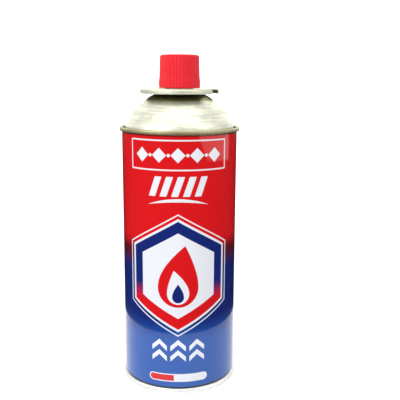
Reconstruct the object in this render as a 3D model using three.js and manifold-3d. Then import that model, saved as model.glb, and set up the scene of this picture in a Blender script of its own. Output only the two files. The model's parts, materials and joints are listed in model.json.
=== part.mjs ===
// A sealed butane cartridge with a bayonet flange, a sprung valve and a pull-off cap.
// Millimetres, +Z up. The origin is the middle of the foot circle.
import * as THREE from 'three';
import { mergeVertices } from 'three/addons/utils/BufferGeometryUtils.js';
import Module from 'manifold-3d';

const wasm = await Module();
wasm.setup();

// Mesh fineness
const ROUND_SEGMENTS = 56;
const ARC_STEPS = 2;
const CURVE_STEPS = 9;
const MERGE_TOLERANCE = 1e-4;

// Fits: stationary pieces that touch, loose pieces, and a piece that slides in another
const SEAT_GAP = 0.1;
const LOOSE_GAP = 0.2;
const RUNNING_GAP = 0.05;

// Can body and its two double seams
const BODY_RADIUS = 33.0;
const BODY_LENGTH = 144.5;
const SEAM_HEIGHT = 2.7;
const SEAM_PROUD = 1.35;
const SEAM_WIDTH = 1.8;
const SEAM_CORNER = 0.5;
const CHUCK_DEPTH = 3.6;
const CHUCK_ROUND = 0.6;
const BASE_PANEL_RISE = 8.0;
const BASE_PANEL_FLATNESS = 19.0;

// Dome, from the groove inside the upper seam to the curl around its mouth
const GROOVE_WIDTH = 1.4;
const DOME_HEIGHT = 20.3;
const DOME_SHOULDER_PULL = 4.2;
const DOME_NECK_REACH = 5.0;
const DOME_NECK_DROP = 2.2;
const NECK_FILLET = 0.3;
const NECK_DROP = 2.7;
const MOUTH_RADIUS = 12.7;
const CURL_THICKNESS = 2.5;
const CURL_START_DEG = -60;

// Mounting cup with the bayonet flange
const SHEET = 0.5;
const CUP_GASKET_THICKNESS = 0.25;
const FLANGE_RADIUS = 22.4;
const SKIRT_HEIGHT = 2.7;
const FLANGE_EDGE_ROUND = 0.9;
const NOTCH_WIDTH = 11.0;
const NOTCH_DEPTH = 5.0;
const NOTCH_AZIMUTH_DEG = -22;
const WELL_DEPTH = 5.4;
const WELL_BEND = 1.0;
const PEDESTAL_RADIUS = 8.2;
const PEDESTAL_RISE = 3.0;
const PEDESTAL_BEND = 1.2;

// Valve
const STEM_RADIUS = 1.95;
const STEM_RISE = 5.5;
const STEM_HOLE_GAP = 0.4;
const STEM_TIP_CHAMFER = 0.3;
const STEM_BORE_RADIUS = 0.75;
const STEM_BORE_FLOOR = 0.4;
const ORIFICE_RADIUS = 0.35;
const ORIFICE_SEGMENTS = 12;
const COLLAR_RADIUS = 3.0;
const COLLAR_HEIGHT = 1.4;
const TAIL_RADIUS = 1.3;
const TAIL_LENGTH = 5.0;
const STEM_GASKET_THICKNESS = 1.2;
const HOUSING_FLANGE_HEIGHT = 1.6;
const HOUSING_RADIUS = 4.8;
const HOUSING_BORE_RADIUS = 3.7;
const HOUSING_LENGTH = 15.0;
const HOUSING_FLOOR = 1.5;
const INLET_RADIUS = 0.8;
const SPRING_RADIUS = 2.3;
const SPRING_WIRE_RADIUS = 0.3;
const SPRING_TURNS = 6;
const SPRING_STEPS_PER_TURN = 16;
const WIRE_SEGMENTS = 4;

// Cap
const CAP_LIFT = 0.4;
const CAP_HEIGHT = 18.4;
const CAP_BAND_HEIGHT = 5.3;
const CAP_BAND_RADIUS = 11.75;
const CAP_WAIST_RADIUS = 11.4;
const CAP_TOP_RADIUS = 11.15;
const CAP_WALL = 1.2;
const CAP_EDGE_ROUND = 0.7;
const CAP_EDGE_STEPS = 3;
const RIB_COUNT = 36;
const RIB_DEPTH = 0.22;
const POINTS_PER_RIB = 4;
const FIN_COUNT = 6;
const FIN_THICKNESS = 1.2;
const FIN_LEDGE_RADIUS = 5.5;
const FIN_LEDGE_HEIGHT = 3.0;
const FIN_OVERLAP = 0.4;

// Heights above the table that follow from the sizes above
const BODY_TOP_Z = SEAM_HEIGHT + BODY_LENGTH;
const SEAM_TOP_Z = BODY_TOP_Z + SEAM_HEIGHT;
const CURL_TOP_Z = SEAM_TOP_Z + DOME_HEIGHT;
const CUP_GASKET_Z = CURL_TOP_Z + SEAT_GAP;
const FLANGE_TOP_Z = CUP_GASKET_Z + CUP_GASKET_THICKNESS + SEAT_GAP + SHEET;
const WELL_FLOOR_Z = FLANGE_TOP_Z - WELL_DEPTH;
const PEDESTAL_TOP_Z = FLANGE_TOP_Z + PEDESTAL_RISE;
const STEM_GASKET_TOP_Z = PEDESTAL_TOP_Z - SHEET - SEAT_GAP;
const HOUSING_TOP_Z = STEM_GASKET_TOP_Z - STEM_GASKET_THICKNESS - SEAT_GAP;
const HOUSING_FLOOR_Z = HOUSING_TOP_Z - HOUSING_LENGTH + HOUSING_FLOOR;
const COLLAR_BOTTOM_Z = HOUSING_TOP_Z - COLLAR_HEIGHT;
const CAP_BOTTOM_Z = FLANGE_TOP_Z + CAP_LIFT;
const CAP_TOP_Z = CAP_BOTTOM_Z + CAP_HEIGHT;
const CAP_WAIST_Z = CAP_BOTTOM_Z + CAP_BAND_HEIGHT;

// Radii that follow from the sizes above
const SEAM_RADIUS = BODY_RADIUS + SEAM_PROUD;
const SEAM_INNER_RADIUS = SEAM_RADIUS - SEAM_WIDTH;
const DOME_FOOT_RADIUS = SEAM_INNER_RADIUS - GROOVE_WIDTH;
const CURL_ROUND = CURL_THICKNESS / 2;
const CURL_CENTRE_RADIUS = MOUTH_RADIUS + CURL_ROUND;
const NECK_RADIUS = MOUTH_RADIUS + CURL_THICKNESS;
const WELL_RADIUS = MOUTH_RADIUS - LOOSE_GAP - SHEET;
const PEDESTAL_BORE_RADIUS = PEDESTAL_RADIUS - SHEET;
const INSERT_RADIUS = PEDESTAL_BORE_RADIUS - LOOSE_GAP;

const point = (radius, z) => new THREE.Vector2(radius, z);

// Points of an arc in the plane of a profile, angles in degrees from the outward direction
function arc(centreRadius, centreZ, radius, fromDeg, toDeg, steps = ARC_STEPS) {
  return Array.from({ length: steps + 1 }, (_, i) => {
    const angle = THREE.MathUtils.degToRad(fromDeg + (toDeg - fromDeg) * i / steps);
    return point(centreRadius + radius * Math.cos(angle), centreZ + radius * Math.sin(angle));
  });
}

// A profile turned about the Z axis
function revolve(profile, segments = ROUND_SEGMENTS) {
  const geometry = new THREE.LatheGeometry(profile, segments);
  geometry.rotateX(Math.PI / 2);
  return geometry;
}

// A ring's profile is closed by repeating its first point
function revolveRing(profile, segments = ROUND_SEGMENTS) {
  return revolve([...profile, profile[0].clone()], segments);
}

function weld(geometry) {
  const bare = new THREE.BufferGeometry();
  bare.setAttribute('position', geometry.getAttribute('position'));
  bare.setIndex(geometry.getIndex());
  const merged = mergeVertices(bare, MERGE_TOLERANCE);
  const index = merged.getIndex().array;
  const kept = [];
  for (let i = 0; i < index.length; i += 3) {
    const [a, b, c] = [index[i], index[i + 1], index[i + 2]];
    if (a !== b && b !== c && c !== a) kept.push(a, b, c);
  }
  merged.setIndex(kept);
  return merged;
}

function toSolid(geometry) {
  const welded = weld(geometry);
  return new wasm.Manifold(new wasm.Mesh({
    numProp: 3,
    vertProperties: Float32Array.from(welded.getAttribute('position').array),
    triVerts: Uint32Array.from(welded.getIndex().array),
  }));
}

function toGeometry(solid) {
  const { vertProperties, triVerts } = solid.getMesh();
  const geometry = new THREE.BufferGeometry();
  geometry.setAttribute('position', new THREE.BufferAttribute(vertProperties, 3));
  geometry.setIndex(new THREE.BufferAttribute(triVerts, 1));
  geometry.computeVertexNormals();
  return geometry;
}

function piece(name, geometry, color, roughness, metalness) {
  const mesh = new THREE.Mesh(geometry, new THREE.MeshStandardMaterial({ color, roughness, metalness }));
  mesh.name = name;
  return mesh;
}

// Concave base panel, the chuck wall around it, and the lower double seam that is the foot
function baseProfile() {
  const rimZ = CHUCK_DEPTH;
  const panel = new THREE.QuadraticBezierCurve(
    point(0, rimZ + BASE_PANEL_RISE),
    point(BASE_PANEL_FLATNESS, rimZ + BASE_PANEL_RISE),
    point(SEAM_INNER_RADIUS - 2 * CHUCK_ROUND, rimZ),
  );
  return [
    ...panel.getPoints(CURVE_STEPS),
    ...arc(SEAM_INNER_RADIUS - CHUCK_ROUND, rimZ - CHUCK_ROUND, CHUCK_ROUND, 90, 0),
    ...arc(SEAM_INNER_RADIUS + SEAM_CORNER, SEAM_CORNER, SEAM_CORNER, 180, 270),
    ...arc(SEAM_RADIUS - SEAM_CORNER, SEAM_CORNER, SEAM_CORNER, 270, 360),
    ...arc(SEAM_RADIUS - SEAM_CORNER, SEAM_HEIGHT - SEAM_CORNER, SEAM_CORNER, 0, 90),
    point(BODY_RADIUS, SEAM_HEIGHT),
  ];
}

// Upper double seam, and the groove between it and the dome
function upperSeamProfile() {
  const grooveRound = GROOVE_WIDTH / 2;
  const grooveZ = SEAM_TOP_Z - CHUCK_DEPTH + grooveRound;
  return [
    point(BODY_RADIUS, BODY_TOP_Z),
    ...arc(SEAM_RADIUS - SEAM_CORNER, BODY_TOP_Z + SEAM_CORNER, SEAM_CORNER, -90, 0),
    ...arc(SEAM_RADIUS - SEAM_CORNER, SEAM_TOP_Z - SEAM_CORNER, SEAM_CORNER, 0, 90),
    ...arc(SEAM_INNER_RADIUS + SEAM_CORNER, SEAM_TOP_Z - SEAM_CORNER, SEAM_CORNER, 90, 180),
    ...arc(SEAM_INNER_RADIUS - grooveRound, grooveZ, grooveRound, 0, -180),
  ];
}

// Dome that draws in to the neck, and the curl rolled around its mouth
function domeProfile() {
  const neckZ = CURL_TOP_Z - NECK_DROP;
  const neckRadius = NECK_RADIUS + NECK_FILLET;
  const dome = new THREE.CubicBezierCurve(
    point(DOME_FOOT_RADIUS, SEAM_TOP_Z),
    point(DOME_FOOT_RADIUS, SEAM_TOP_Z + DOME_SHOULDER_PULL),
    point(neckRadius + DOME_NECK_REACH, neckZ - DOME_NECK_DROP),
    point(neckRadius, neckZ),
  );
  return [
    ...dome.getPoints(CURVE_STEPS),
    ...arc(CURL_CENTRE_RADIUS, CURL_TOP_Z - CURL_ROUND, CURL_ROUND, CURL_START_DEG, 180, 4 * ARC_STEPS),
  ];
}

// Room under the mouth for the cup's well and for the valve housing
function pocketProfile() {
  const wellRoomZ = WELL_FLOOR_Z - SHEET - LOOSE_GAP;
  const housingRoomZ = HOUSING_TOP_Z - HOUSING_LENGTH - LOOSE_GAP;
  return [
    point(MOUTH_RADIUS, wellRoomZ),
    point(HOUSING_RADIUS + LOOSE_GAP, wellRoomZ),
    point(HOUSING_RADIUS + LOOSE_GAP, housingRoomZ),
    point(0, housingRoomZ),
  ];
}

function makeCan() {
  const profile = [...baseProfile(), ...upperSeamProfile(), ...domeProfile(), ...pocketProfile()];
  return piece('can', revolve(profile), 0xd5202a, 0.25, 0.4);
}

// Upper face of the mounting cup from the skirt's lower edge to the stem hole
function cupUpperFace(inset) {
  const edge = FLANGE_EDGE_ROUND - inset;
  const lip = WELL_BEND - inset;
  const root = WELL_BEND + inset;
  const shoulder = PEDESTAL_BEND - inset;
  return [
    point(FLANGE_RADIUS - inset, FLANGE_TOP_Z - SKIRT_HEIGHT),
    ...arc(FLANGE_RADIUS - FLANGE_EDGE_ROUND, FLANGE_TOP_Z - FLANGE_EDGE_ROUND, edge, 0, 90),
    ...arc(WELL_RADIUS + WELL_BEND, FLANGE_TOP_Z - WELL_BEND, lip, 90, 180),
    ...arc(WELL_RADIUS - WELL_BEND, WELL_FLOOR_Z + WELL_BEND, root, 0, -90),
    ...arc(PEDESTAL_RADIUS + WELL_BEND, WELL_FLOOR_Z + WELL_BEND, root, -90, -180),
    ...arc(PEDESTAL_RADIUS - PEDESTAL_BEND, PEDESTAL_TOP_Z - PEDESTAL_BEND, shoulder, 0, 90),
    point(STEM_RADIUS + STEM_HOLE_GAP, PEDESTAL_TOP_Z - inset),
  ];
}

function makeMountingCup() {
  const sheet = toSolid(revolveRing([...cupUpperFace(0), ...cupUpperFace(SHEET).reverse()]));
  const cutter = new THREE.BoxGeometry(2 * NOTCH_DEPTH, NOTCH_WIDTH, 4 * SKIRT_HEIGHT);
  cutter.translate(FLANGE_RADIUS, 0, FLANGE_TOP_Z - SKIRT_HEIGHT);
  cutter.rotateZ(THREE.MathUtils.degToRad(NOTCH_AZIMUTH_DEG));
  return piece('mounting_cup', toGeometry(sheet.subtract(toSolid(cutter))), 0xc9ccb9, 0.25, 0.9);
}

function makeCupGasket() {
  const halfWidth = CURL_ROUND - LOOSE_GAP;
  const ring = [
    point(CURL_CENTRE_RADIUS + halfWidth, CUP_GASKET_Z),
    point(CURL_CENTRE_RADIUS + halfWidth, CUP_GASKET_Z + CUP_GASKET_THICKNESS),
    point(CURL_CENTRE_RADIUS - halfWidth, CUP_GASKET_Z + CUP_GASKET_THICKNESS),
    point(CURL_CENTRE_RADIUS - halfWidth, CUP_GASKET_Z),
  ];
  return piece('cup_gasket', revolveRing(ring), 0x23231f, 0.8, 0.0);
}

function makeStemGasket() {
  const outer = PEDESTAL_RADIUS - PEDESTAL_BEND;
  const inner = STEM_RADIUS + RUNNING_GAP;
  const bottom = STEM_GASKET_TOP_Z - STEM_GASKET_THICKNESS;
  const ring = [
    point(outer, bottom),
    point(outer, STEM_GASKET_TOP_Z),
    point(inner, STEM_GASKET_TOP_Z),
    point(inner, bottom),
  ];
  return piece('stem_gasket', revolveRing(ring), 0x23231f, 0.8, 0.0);
}

// Moulded cup under the pedestal that holds the spring and guides the stem's tail
function makeValveHousing() {
  const bottom = HOUSING_TOP_Z - HOUSING_LENGTH;
  const ring = [
    point(HOUSING_RADIUS, bottom),
    point(HOUSING_RADIUS, HOUSING_TOP_Z - HOUSING_FLANGE_HEIGHT),
    point(INSERT_RADIUS, HOUSING_TOP_Z - HOUSING_FLANGE_HEIGHT),
    point(INSERT_RADIUS, HOUSING_TOP_Z),
    point(HOUSING_BORE_RADIUS, HOUSING_TOP_Z),
    point(HOUSING_BORE_RADIUS, HOUSING_FLOOR_Z),
    point(INLET_RADIUS, HOUSING_FLOOR_Z),
    point(INLET_RADIUS, bottom),
  ];
  return piece('valve_housing', revolveRing(ring), 0xe6e4d8, 0.5, 0.0);
}

// Hollow stem: a tube, a collar that seals under the gasket, and a tail inside the spring
function makeValveStem() {
  const top = PEDESTAL_TOP_Z + STEM_RISE;
  const collarTop = HOUSING_TOP_Z;
  const profile = [
    point(0, COLLAR_BOTTOM_Z - TAIL_LENGTH),
    point(TAIL_RADIUS, COLLAR_BOTTOM_Z - TAIL_LENGTH),
    point(TAIL_RADIUS, COLLAR_BOTTOM_Z),
    point(COLLAR_RADIUS, COLLAR_BOTTOM_Z),
    point(COLLAR_RADIUS, collarTop),
    point(STEM_RADIUS, collarTop),
    point(STEM_RADIUS, top - STEM_TIP_CHAMFER),
    point(STEM_RADIUS - STEM_TIP_CHAMFER, top),
    point(STEM_BORE_RADIUS, top),
    point(STEM_BORE_RADIUS, collarTop + STEM_BORE_FLOOR),
    point(0, collarTop + STEM_BORE_FLOOR),
  ];
  const orifice = new THREE.CylinderGeometry(ORIFICE_RADIUS, ORIFICE_RADIUS, 2 * STEM_RADIUS, ORIFICE_SEGMENTS);
  orifice.rotateZ(Math.PI / 2);
  orifice.translate(STEM_RADIUS, 0, collarTop + STEM_BORE_FLOOR + ORIFICE_RADIUS + RUNNING_GAP);
  const solid = toSolid(revolve(profile)).subtract(toSolid(orifice));
  return piece('valve_stem', toGeometry(solid), 0xcbb26a, 0.3, 0.8);
}

class Helix extends THREE.Curve {
  constructor(radius, bottom, height, turns) {
    super();
    Object.assign(this, { radius, bottom, height, turns });
  }

  getPoint(t, target = new THREE.Vector3()) {
    const angle = 2 * Math.PI * this.turns * t;
    return target.set(
      this.radius * Math.cos(angle),
      this.radius * Math.sin(angle),
      this.bottom + this.height * t,
    );
  }
}

// Spring between the housing's floor and the stem's collar
function makeValveSpring() {
  const margin = SPRING_WIRE_RADIUS + SEAT_GAP;
  const bottom = HOUSING_FLOOR_Z + margin;
  const path = new Helix(SPRING_RADIUS, bottom, COLLAR_BOTTOM_Z - margin - bottom, SPRING_TURNS);
  const wire = new THREE.Shape().absarc(0, 0, SPRING_WIRE_RADIUS, 0, 2 * Math.PI);
  const geometry = new THREE.ExtrudeGeometry(wire, {
    steps: SPRING_TURNS * SPRING_STEPS_PER_TURN,
    curveSegments: WIRE_SEGMENTS,
    extrudePath: path,
  });
  return piece('valve_spring', geometry, 0xb8b8b4, 0.3, 1.0);
}

// Round outline with shallow upright ribs all the way around
function ribbedShape(radius) {
  const count = RIB_COUNT * POINTS_PER_RIB;
  return new THREE.Shape(Array.from({ length: count }, (_, i) => {
    const angle = 2 * Math.PI * i / count;
    const inward = RIB_DEPTH * (1 - Math.cos(RIB_COUNT * angle)) / 2;
    return point(
      (radius - inward) * Math.cos(angle),
      (radius - inward) * Math.sin(angle),
    );
  }));
}

function taper(geometry, fromZ, toZ, endScale) {
  const position = geometry.getAttribute('position');
  for (let i = 0; i < position.count; i += 1) {
    const share = (position.getZ(i) - fromZ) / (toZ - fromZ);
    const scale = 1 + (endScale - 1) * share;
    position.setXY(i, position.getX(i) * scale, position.getY(i) * scale);
  }
}

// Ribbed outside of the cap: a straight band below and a slightly tapered crown above it
function capOutside() {
  const band = new THREE.ExtrudeGeometry(ribbedShape(CAP_BAND_RADIUS), {
    depth: CAP_BAND_HEIGHT,
    bevelEnabled: false,
  });
  band.translate(0, 0, CAP_BOTTOM_Z);
  const crown = new THREE.ExtrudeGeometry(ribbedShape(CAP_WAIST_RADIUS), {
    depth: CAP_HEIGHT - CAP_EDGE_ROUND * 2,
    bevelSize: CAP_EDGE_ROUND,
    bevelOffset: -CAP_EDGE_ROUND,
    bevelThickness: CAP_EDGE_ROUND,
    bevelSegments: CAP_EDGE_STEPS,
  });
  crown.translate(0, 0, CAP_BOTTOM_Z + CAP_EDGE_ROUND);
  taper(crown, CAP_WAIST_Z, CAP_TOP_Z, CAP_TOP_RADIUS / CAP_WAIST_RADIUS);
  return toSolid(band).add(toSolid(crown));
}

function capHollow() {
  const radius = CAP_TOP_RADIUS - RIB_DEPTH - CAP_WALL;
  const ceiling = CAP_TOP_Z - CAP_WALL;
  return toSolid(revolve([
    point(0, CAP_BOTTOM_Z - CAP_WALL),
    point(radius, CAP_BOTTOM_Z - CAP_WALL),
    ...arc(radius - CAP_EDGE_ROUND, ceiling - CAP_EDGE_ROUND, CAP_EDGE_ROUND, 0, 90),
    point(0, ceiling),
  ]));
}

// Upright fin inside the cap: its foot grips the pedestal, and its ledge rests on top of it
function capFin() {
  const inner = PEDESTAL_RADIUS + LOOSE_GAP;
  const outer = CAP_TOP_RADIUS - RIB_DEPTH - CAP_WALL + FIN_OVERLAP;
  const ledgeZ = PEDESTAL_TOP_Z + SEAT_GAP;
  const section = new THREE.Shape([
    point(inner, CAP_BOTTOM_Z),
    point(outer, CAP_BOTTOM_Z),
    point(outer, ledgeZ + FIN_LEDGE_HEIGHT),
    point(FIN_LEDGE_RADIUS, ledgeZ + FIN_LEDGE_HEIGHT),
    point(FIN_LEDGE_RADIUS, ledgeZ),
    point(inner, ledgeZ),
  ]);
  const fin = new THREE.ExtrudeGeometry(section, { depth: FIN_THICKNESS, bevelEnabled: false });
  fin.translate(0, 0, -FIN_THICKNESS / 2);
  fin.rotateX(Math.PI / 2);
  return fin;
}

function makeCap() {
  let solid = capOutside().subtract(capHollow());
  for (let i = 0; i < FIN_COUNT; i += 1) {
    const fin = capFin();
    fin.rotateZ(2 * Math.PI * i / FIN_COUNT);
    solid = solid.add(toSolid(fin));
  }
  return piece('cap', toGeometry(solid), 0xe8303c, 0.45, 0.0);
}

const canister = new THREE.Group();
canister.name = 'fuel_canister';
canister.add(
  makeCan(),
  makeMountingCup(),
  makeCupGasket(),
  makeStemGasket(),
  makeValveHousing(),
  makeValveStem(),
  makeValveSpring(),
  makeCap(),
);

export default canister;
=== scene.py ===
# Looks of a sealed butane canister: printed can, tinplate ends, mounting cup, valve and cap.
# Everything is in metres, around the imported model's own axes.
import json
import math

import bmesh
import bpy
from bpy.props import FloatProperty, FloatVectorProperty, IntProperty, PointerProperty
from mathutils import Matrix, Vector


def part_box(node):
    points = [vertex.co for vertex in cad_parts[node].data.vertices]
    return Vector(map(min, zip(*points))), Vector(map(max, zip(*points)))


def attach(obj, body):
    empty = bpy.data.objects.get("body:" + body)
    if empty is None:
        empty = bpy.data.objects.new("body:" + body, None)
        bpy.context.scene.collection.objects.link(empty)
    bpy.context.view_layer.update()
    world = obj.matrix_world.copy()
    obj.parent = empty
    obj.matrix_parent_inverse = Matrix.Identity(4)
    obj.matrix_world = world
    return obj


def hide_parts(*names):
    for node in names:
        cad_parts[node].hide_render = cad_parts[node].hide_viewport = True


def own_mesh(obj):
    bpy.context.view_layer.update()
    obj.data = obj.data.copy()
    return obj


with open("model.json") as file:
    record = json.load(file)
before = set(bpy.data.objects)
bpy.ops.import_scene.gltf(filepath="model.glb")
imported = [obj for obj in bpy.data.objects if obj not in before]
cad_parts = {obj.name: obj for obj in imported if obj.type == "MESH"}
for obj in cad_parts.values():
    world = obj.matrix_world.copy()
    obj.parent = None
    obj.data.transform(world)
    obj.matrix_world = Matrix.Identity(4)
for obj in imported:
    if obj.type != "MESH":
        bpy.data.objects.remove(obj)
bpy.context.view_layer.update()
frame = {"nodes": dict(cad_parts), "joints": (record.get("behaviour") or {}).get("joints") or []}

bl_info = {
    "name": "Butane canister",
    "version": (1, 0, 0),
    "blender": (4, 5, 0),
    "location": "3D Viewport > Sidebar > Canister",
    "description": "Makes the printed can, its metal ends, the valve and the cap",
    "category": "Object",
}

MM = 0.001

# Fineness of the meshes
TURN_STEPS = 192
STEM_STEPS = 96
STEPS_PER_RIB = 12
ARC_STEPS = 6
CURVE_STEPS = 24
COIL_STEPS = 24
WIRE_SIDES = 10
SHARP_ANGLE = math.radians(38)
MERGE_REACH = 1e-7
AXIS_REACH = 1e-9

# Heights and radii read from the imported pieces
FOOT_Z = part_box("can")[0][2]
CURL_TOP_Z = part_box("can")[1][2]
SEAM_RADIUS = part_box("can")[1][0]
CUP_BOTTOM_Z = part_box("mounting_cup")[0][2]
PEDESTAL_TOP_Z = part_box("mounting_cup")[1][2]
FLANGE_RADIUS = -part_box("mounting_cup")[0][0]
CAP_BOTTOM_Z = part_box("cap")[0][2]
CAP_TOP_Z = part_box("cap")[1][2]
CAP_BAND_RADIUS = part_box("cap")[1][0]
STEM_BOTTOM_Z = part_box("valve_stem")[0][2]
STEM_TOP_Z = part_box("valve_stem")[1][2]
STEM_TRAVEL = max(next(joint for joint in frame["joints"] if joint["name"] == "stem_press")["range_m"])

# How a screen turns a level into light
SCREEN_TOP = 255
SCREEN_KNEE = 0.04045
SCREEN_SLOPE = 12.92
SCREEN_OFFSET = 0.055
SCREEN_POWER = 2.4


def screen_colour(*levels):
    """Linear colour of a tone given as it shows on a screen, 0 to 255."""
    def linear(level):
        share = level / SCREEN_TOP
        if share <= SCREEN_KNEE:
            return share / SCREEN_SLOPE
        return ((share + SCREEN_OFFSET) / (1 + SCREEN_OFFSET)) ** SCREEN_POWER
    return tuple(linear(level) for level in levels)


def length_setting(name, description, millimetres):
    return FloatProperty(name=name, description=description, default=millimetres * MM, unit="LENGTH")


def count_setting(name, description, number):
    return IntProperty(name=name, description=description, default=number)


def colour_setting(name, description, *levels):
    return FloatVectorProperty(name=name, description=description, default=screen_colour(*levels),
                               subtype="COLOR")


class CanSizes(bpy.types.PropertyGroup):
    body_radius: length_setting("Body radius", "Radius of the printed wall", 33.0)
    seam_height: length_setting("Seam height", "Height of the upper double seam", 2.2)
    foot_height: length_setting("Foot height", "Height of the lower seam, with its bead of sealant", 3.3)
    foot_proud: length_setting("Foot proud", "How far the lower seam stands out from the wall", 1.0)
    seam_width: length_setting("Seam width", "Thickness of each double seam across its fold", 1.8)
    seam_corner: length_setting("Seam corner", "Rounding of a seam's corners", 0.5)
    wall: length_setting("Wall", "Thickness of the printed sleeve", 0.25)
    chuck_depth: length_setting("Chuck depth", "Depth of the groove inside a seam", 3.6)
    panel_rise: length_setting("Panel rise", "Height of the concave base panel", 8.0)
    dome_height: length_setting("Dome height", "Height from the upper seam to the top of the curl", 20.3)
    groove_width: length_setting("Groove width", "Width of the groove between seam and dome", 1.4)
    mouth_radius: length_setting("Mouth radius", "Radius of the dome's opening", 12.7)
    curl_thickness: length_setting("Curl thickness", "Thickness of the curl around the mouth", 2.5)


class CupSizes(bpy.types.PropertyGroup):
    sheet: length_setting("Sheet", "Thickness of the pressed sheet", 0.5)
    skirt_height: length_setting("Skirt height", "Height of the flange's turned-down skirt", 2.7)
    edge_round: length_setting("Edge rounding", "Rounding of the flange's outer edge", 0.9)
    well_radius: length_setting("Well radius", "Inner radius of the well", 12.0)
    well_depth: length_setting("Well depth", "Depth of the well below the flange's face", 5.4)
    pedestal_radius: length_setting("Pedestal radius", "Radius of the pedestal in the well", 8.2)
    pedestal_rise: length_setting("Pedestal rise", "Height of the pedestal above the flange's face", 3.0)
    stem_hole_radius: length_setting("Stem hole radius", "Radius of the hole that the stem passes", 2.35)
    notch_width: length_setting("Notch width", "Width of the notch in the flange", 11.0)
    notch_depth: length_setting("Notch depth", "Depth of the notch from the flange's edge", 5.0)
    notch_azimuth: FloatProperty(
        name="Notch direction", description="Direction of the notch from the X axis",
        default=math.radians(-22), unit="ROTATION")


class CapSizes(bpy.types.PropertyGroup):
    band_height: length_setting("Band height", "Height of the wider band at the cap's foot", 5.3)
    waist_radius: length_setting("Waist radius", "Radius just above the band", 11.4)
    top_radius: length_setting("Top radius", "Radius at the top of the cap", 11.15)
    wall: length_setting("Wall", "Thickness of the cap's wall and roof", 1.2)
    edge_round: length_setting("Edge rounding", "Rounding of the cap's upper edge", 1.4)
    rib_count: count_setting("Ribs", "Number of upright ribs around the cap", 36)
    rib_depth: length_setting("Rib depth", "Depth of the flutes between the ribs", 0.3)
    fin_count: count_setting("Fins", "Number of gripping fins inside the cap", 6)
    fin_thickness: length_setting("Fin thickness", "Thickness of each gripping fin", 1.2)


class CanisterColours(bpy.types.PropertyGroup):
    print_red: colour_setting("Print red", "Upper field of the print", 224, 22, 28)
    print_navy: colour_setting("Print navy", "Middle field and band of the print", 21, 40, 118)
    print_maroon: colour_setting("Print maroon", "Fade between the red and navy fields", 98, 18, 30)
    print_blue: colour_setting("Print blue", "Lower field of the print", 36, 92, 180)
    print_white: colour_setting("Print white", "White marks of the print", 240, 243, 250)
    tinplate: colour_setting("Tinplate", "Lacquered tinplate", 228, 229, 210)
    cup: colour_setting("Cup", "Upper side of the mounting cup", 224, 226, 204)
    seam: colour_setting("Seam", "Upper double seam", 188, 182, 142)
    foot: colour_setting("Foot", "Lower double seam and base", 238, 240, 234)
    # Painted shade and reflection of the flange's underside, as a darker band on the dome's neck
    painted_neck_shade: colour_setting("Neck band", "Darker band around the neck, under the flange", 156, 156, 112)
    # Painted shade inside the flange's skirt, where the flange keeps the light out
    underside: colour_setting("Underside", "Lacquer inside the flange's skirt", 40, 40, 24)
    cap_red: colour_setting("Cap red", "Moulded cap", 240, 26, 44)
    rubber: colour_setting("Rubber", "Gaskets", 34, 34, 32)
    nylon: colour_setting("Nylon", "Valve housing", 228, 224, 208)
    brass: colour_setting("Brass", "Valve stem", 210, 184, 120)
    steel: colour_setting("Steel wire", "Valve spring", 196, 196, 192)


def shade(name):
    """One of the canister's colours as plain numbers."""
    return tuple(getattr(bpy.context.scene.canister_colours, name))


# Profiles and meshes: a profile's points are (radius, height)

def arc(radius, height, rounding, from_deg, to_deg, steps=ARC_STEPS):
    """Points of an arc, angles from the outward direction."""
    points = []
    for step in range(steps + 1):
        angle = math.radians(from_deg + (to_deg - from_deg) * step / steps)
        points.append((radius + rounding * math.cos(angle), height + rounding * math.sin(angle)))
    return points


def bezier(controls, steps=CURVE_STEPS):
    """Points of a Bezier curve through any number of control points."""
    points = []
    for step in range(steps + 1):
        t = step / steps
        row = [Vector(control) for control in controls]
        while len(row) > 1:
            row = [a.lerp(b, t) for a, b in zip(row, row[1:])]
        points.append(tuple(row[0]))
    return points


def placed(name, work_mesh):
    """Turns a bmesh into an object of the scene."""
    mesh = bpy.data.meshes.new(name)
    work_mesh.to_mesh(mesh)
    work_mesh.free()
    thing = bpy.data.objects.new(name, mesh)
    bpy.context.scene.collection.objects.link(thing)
    return thing


def wear(piece, *materials):
    """Gives a piece its material, or one for each of its two sides."""
    piece.data.materials.clear()
    for material in materials:
        piece.data.materials.append(material)


def new_piece(name, work_mesh, body, slot, node, *materials):
    """Turns a bmesh into a piece that rides on a body and stands for the named node."""
    bmesh.ops.remove_doubles(work_mesh, verts=work_mesh.verts, dist=MERGE_REACH)
    bmesh.ops.recalc_face_normals(work_mesh, faces=work_mesh.faces)
    piece = placed(name, work_mesh)
    piece.data.shade_smooth()
    piece.data.set_sharp_from_angle(angle=SHARP_ANGLE)
    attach(piece, body)
    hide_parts(node)
    wear(piece, *materials)
    return piece


def turned(profile, closed_ring=True, steps=TURN_STEPS, relief=None, second_from=None):
    """A profile turned about the Z axis.

    relief(angle, row) is added to a row's radius, and rows from second_from on take
    the piece's second material.
    """
    work_mesh = bmesh.new()
    rings = []
    for row, (radius, height) in enumerate(profile):
        if radius < AXIS_REACH:
            rings.append([work_mesh.verts.new((0, 0, height))])
            continue
        ring = []
        for step in range(steps):
            angle = 2 * math.pi * step / steps
            outer = radius + (relief(angle, row) if relief else 0.0)
            ring.append(work_mesh.verts.new((outer * math.cos(angle), outer * math.sin(angle), height)))
        rings.append(ring)
    pairs = list(zip(rings, rings[1:]))
    if closed_ring:
        pairs.append((rings[-1], rings[0]))
    for row, (lower, upper) in enumerate(pairs):
        slot = int(second_from is not None and row >= second_from)
        for step in range(steps):
            after = (step + 1) % steps
            corners = []
            for ring, index in ((lower, step), (lower, after), (upper, after), (upper, step)):
                vert = ring[index] if len(ring) > 1 else ring[0]
                if vert not in corners:
                    corners.append(vert)
            if len(corners) > 2:
                work_mesh.faces.new(corners).material_index = slot
    return work_mesh


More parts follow.
